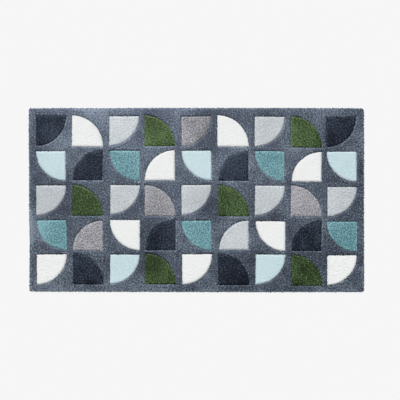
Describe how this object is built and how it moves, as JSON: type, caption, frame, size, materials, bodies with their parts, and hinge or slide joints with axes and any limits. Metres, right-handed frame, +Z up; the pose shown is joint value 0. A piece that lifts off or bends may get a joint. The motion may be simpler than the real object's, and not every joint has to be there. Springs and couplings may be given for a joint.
{
  "type": "doormat",
  "caption": "Flat rectangular cut-pile doormat whose quarter-disc motifs are outlined by fine carved grooves.",
  "frame": {"origin": "centre of the flat underside, on the floor", "axes": "+X along the mat's length, +Y across its width towards the far edge, +Z up"},
  "size_m": [0.906, 0.497, 0.01],
  "materials": {
    "ground_yarn": "dense cut pile, slate blue-grey melange",
    "navy_yarn": "dense cut pile, dark navy",
    "white_yarn": "dense cut pile, off-white",
    "silver_yarn": "dense cut pile, light silver grey",
    "green_yarn": "dense cut pile, moss green",
    "taupe_yarn": "dense cut pile, warm mid grey",
    "ice_yarn": "dense cut pile, pale ice blue",
    "teal_yarn": "dense cut pile, dusty teal",
    "backing": "matt, finely pebbled non-slip backing"
  },
  "bodies": {
    "root": {"mat": "ground_yarn"}
  },
  "joints": []
}
